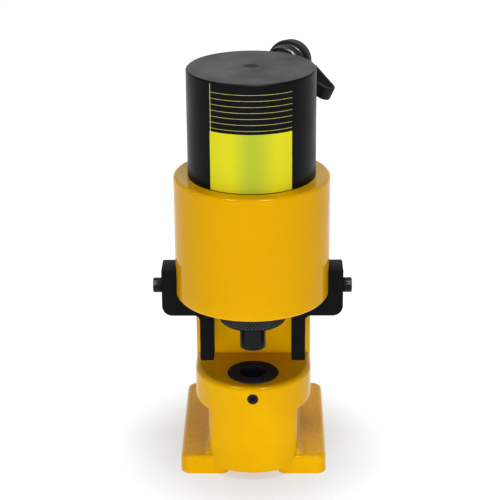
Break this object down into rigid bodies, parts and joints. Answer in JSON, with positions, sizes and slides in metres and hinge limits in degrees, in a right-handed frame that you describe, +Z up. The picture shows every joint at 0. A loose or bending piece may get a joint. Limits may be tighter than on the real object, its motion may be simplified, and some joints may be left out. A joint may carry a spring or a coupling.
{
  "type": "hydraulic hole punch",
  "caption": "Bench hydraulic hole punch: cast C-frame with a die in its jaw, screwed-in cylinder, spring-return ram with knurled punch nut, stripper arms and a capped rear coupler.",
  "frame": {"origin": "on the floor, under the middle of the outline seen from above", "axes": "+Z up along the punch axis, -Y towards the operator at the open side of the throat, +X to the operator's right"},
  "size_m": [0.175, 0.2046, 0.378],
  "materials": {
    "yellow_enamel": "glossy enamel over the casting",
    "black_paint": "satin black paint on turned steel",
    "label_film": "printed film, plain ruled lines and a plain yellow block",
    "bronze": "turned bearing bronze",
    "seal_rubber": "moulded seal compound",
    "ground_steel": "ground steel",
    "white_plastic": "turned PTFE",
    "brown_plastic": "phenolic strip",
    "spring_steel": "oiled spring wire",
    "black_steel": "black oxide",
    "black_coated_bar": "satin black coating on flat bar",
    "plated_steel": "zinc plate",
    "cap_rubber": "moulded black rubber"
  },
  "bodies": {
    "frame": {"frame": "yellow_enamel", "cylinder": "black_paint", "label": "label_film", "guide_bush": "bronze", "rod_wiper": "seal_rubber", "return_spring": "spring_steel", "die": "black_steel", "die_screw": "black_steel", "stripper_bolt_left": "black_steel", "stripper_bolt_right": "black_steel", "port_nipple": "plated_steel", "coupler_body": "plated_steel", "collar_clip": "spring_steel", "valve_spring": "spring_steel", "strap_ring": "cap_rubber", "cap_strap": "cap_rubber"},
    "ram": {"ram": "ground_steel", "piston_seal": "seal_rubber", "backup_ring": "white_plastic", "wear_ring": "brown_plastic", "punch": "black_steel"},
    "punch_nut": {"punch_nut": "black_steel"},
    "stripper_left": {"stripper_left": "black_coated_bar"},
    "stripper_right": {"stripper_right": "black_coated_bar"},
    "coupler_collar": {"coupler_collar": "black_steel"},
    "valve_ball": {"valve_ball": "ground_steel"},
    "dust_cap": {"dust_cap": "cap_rubber"}
  },
  "joints": [
    {"name": "ram_slide", "type": "slide", "parent": "frame", "child": "ram", "axis": [0, 0, -1], "range_m": [0, 0.029], "stiffness_N_per_m": 8000, "springref_m": -0.02, "deforming": ["return_spring"]},
    {"name": "punch_nut_turn", "type": "hinge", "parent": "ram", "child": "punch_nut", "pos_m": [0, -0.03475, 0.16], "axis": [0, 0, 1], "continuous": true},
    {"name": "stripper_left_set", "type": "slide", "parent": "frame", "child": "stripper_left", "axis": [0, 0, -1], "range_m": [0, 0.008]},
    {"name": "stripper_right_set", "type": "slide", "parent": "frame", "child": "stripper_right", "axis": [0, 0, -1], "range_m": [0, 0.008]},
    {"name": "collar_turn", "type": "hinge", "parent": "frame", "child": "coupler_collar", "pos_m": [0.02873, 0.04418, 0.3585], "axis": [0.342, 0.9397, 0], "continuous": true},
    {"name": "valve_push", "type": "slide", "parent": "frame", "child": "valve_ball", "axis": [-0.342, -0.9397, 0], "range_m": [0, 0.003], "stiffness_N_per_m": 400, "springref_m": -0.004, "deforming": ["valve_spring"]},
    {"name": "dust_cap_pull", "type": "slide", "parent": "frame", "child": "dust_cap", "axis": [0.342, 0.9397, 0], "range_m": [0, 0.016], "deforming": ["cap_strap"]}
  ]
}
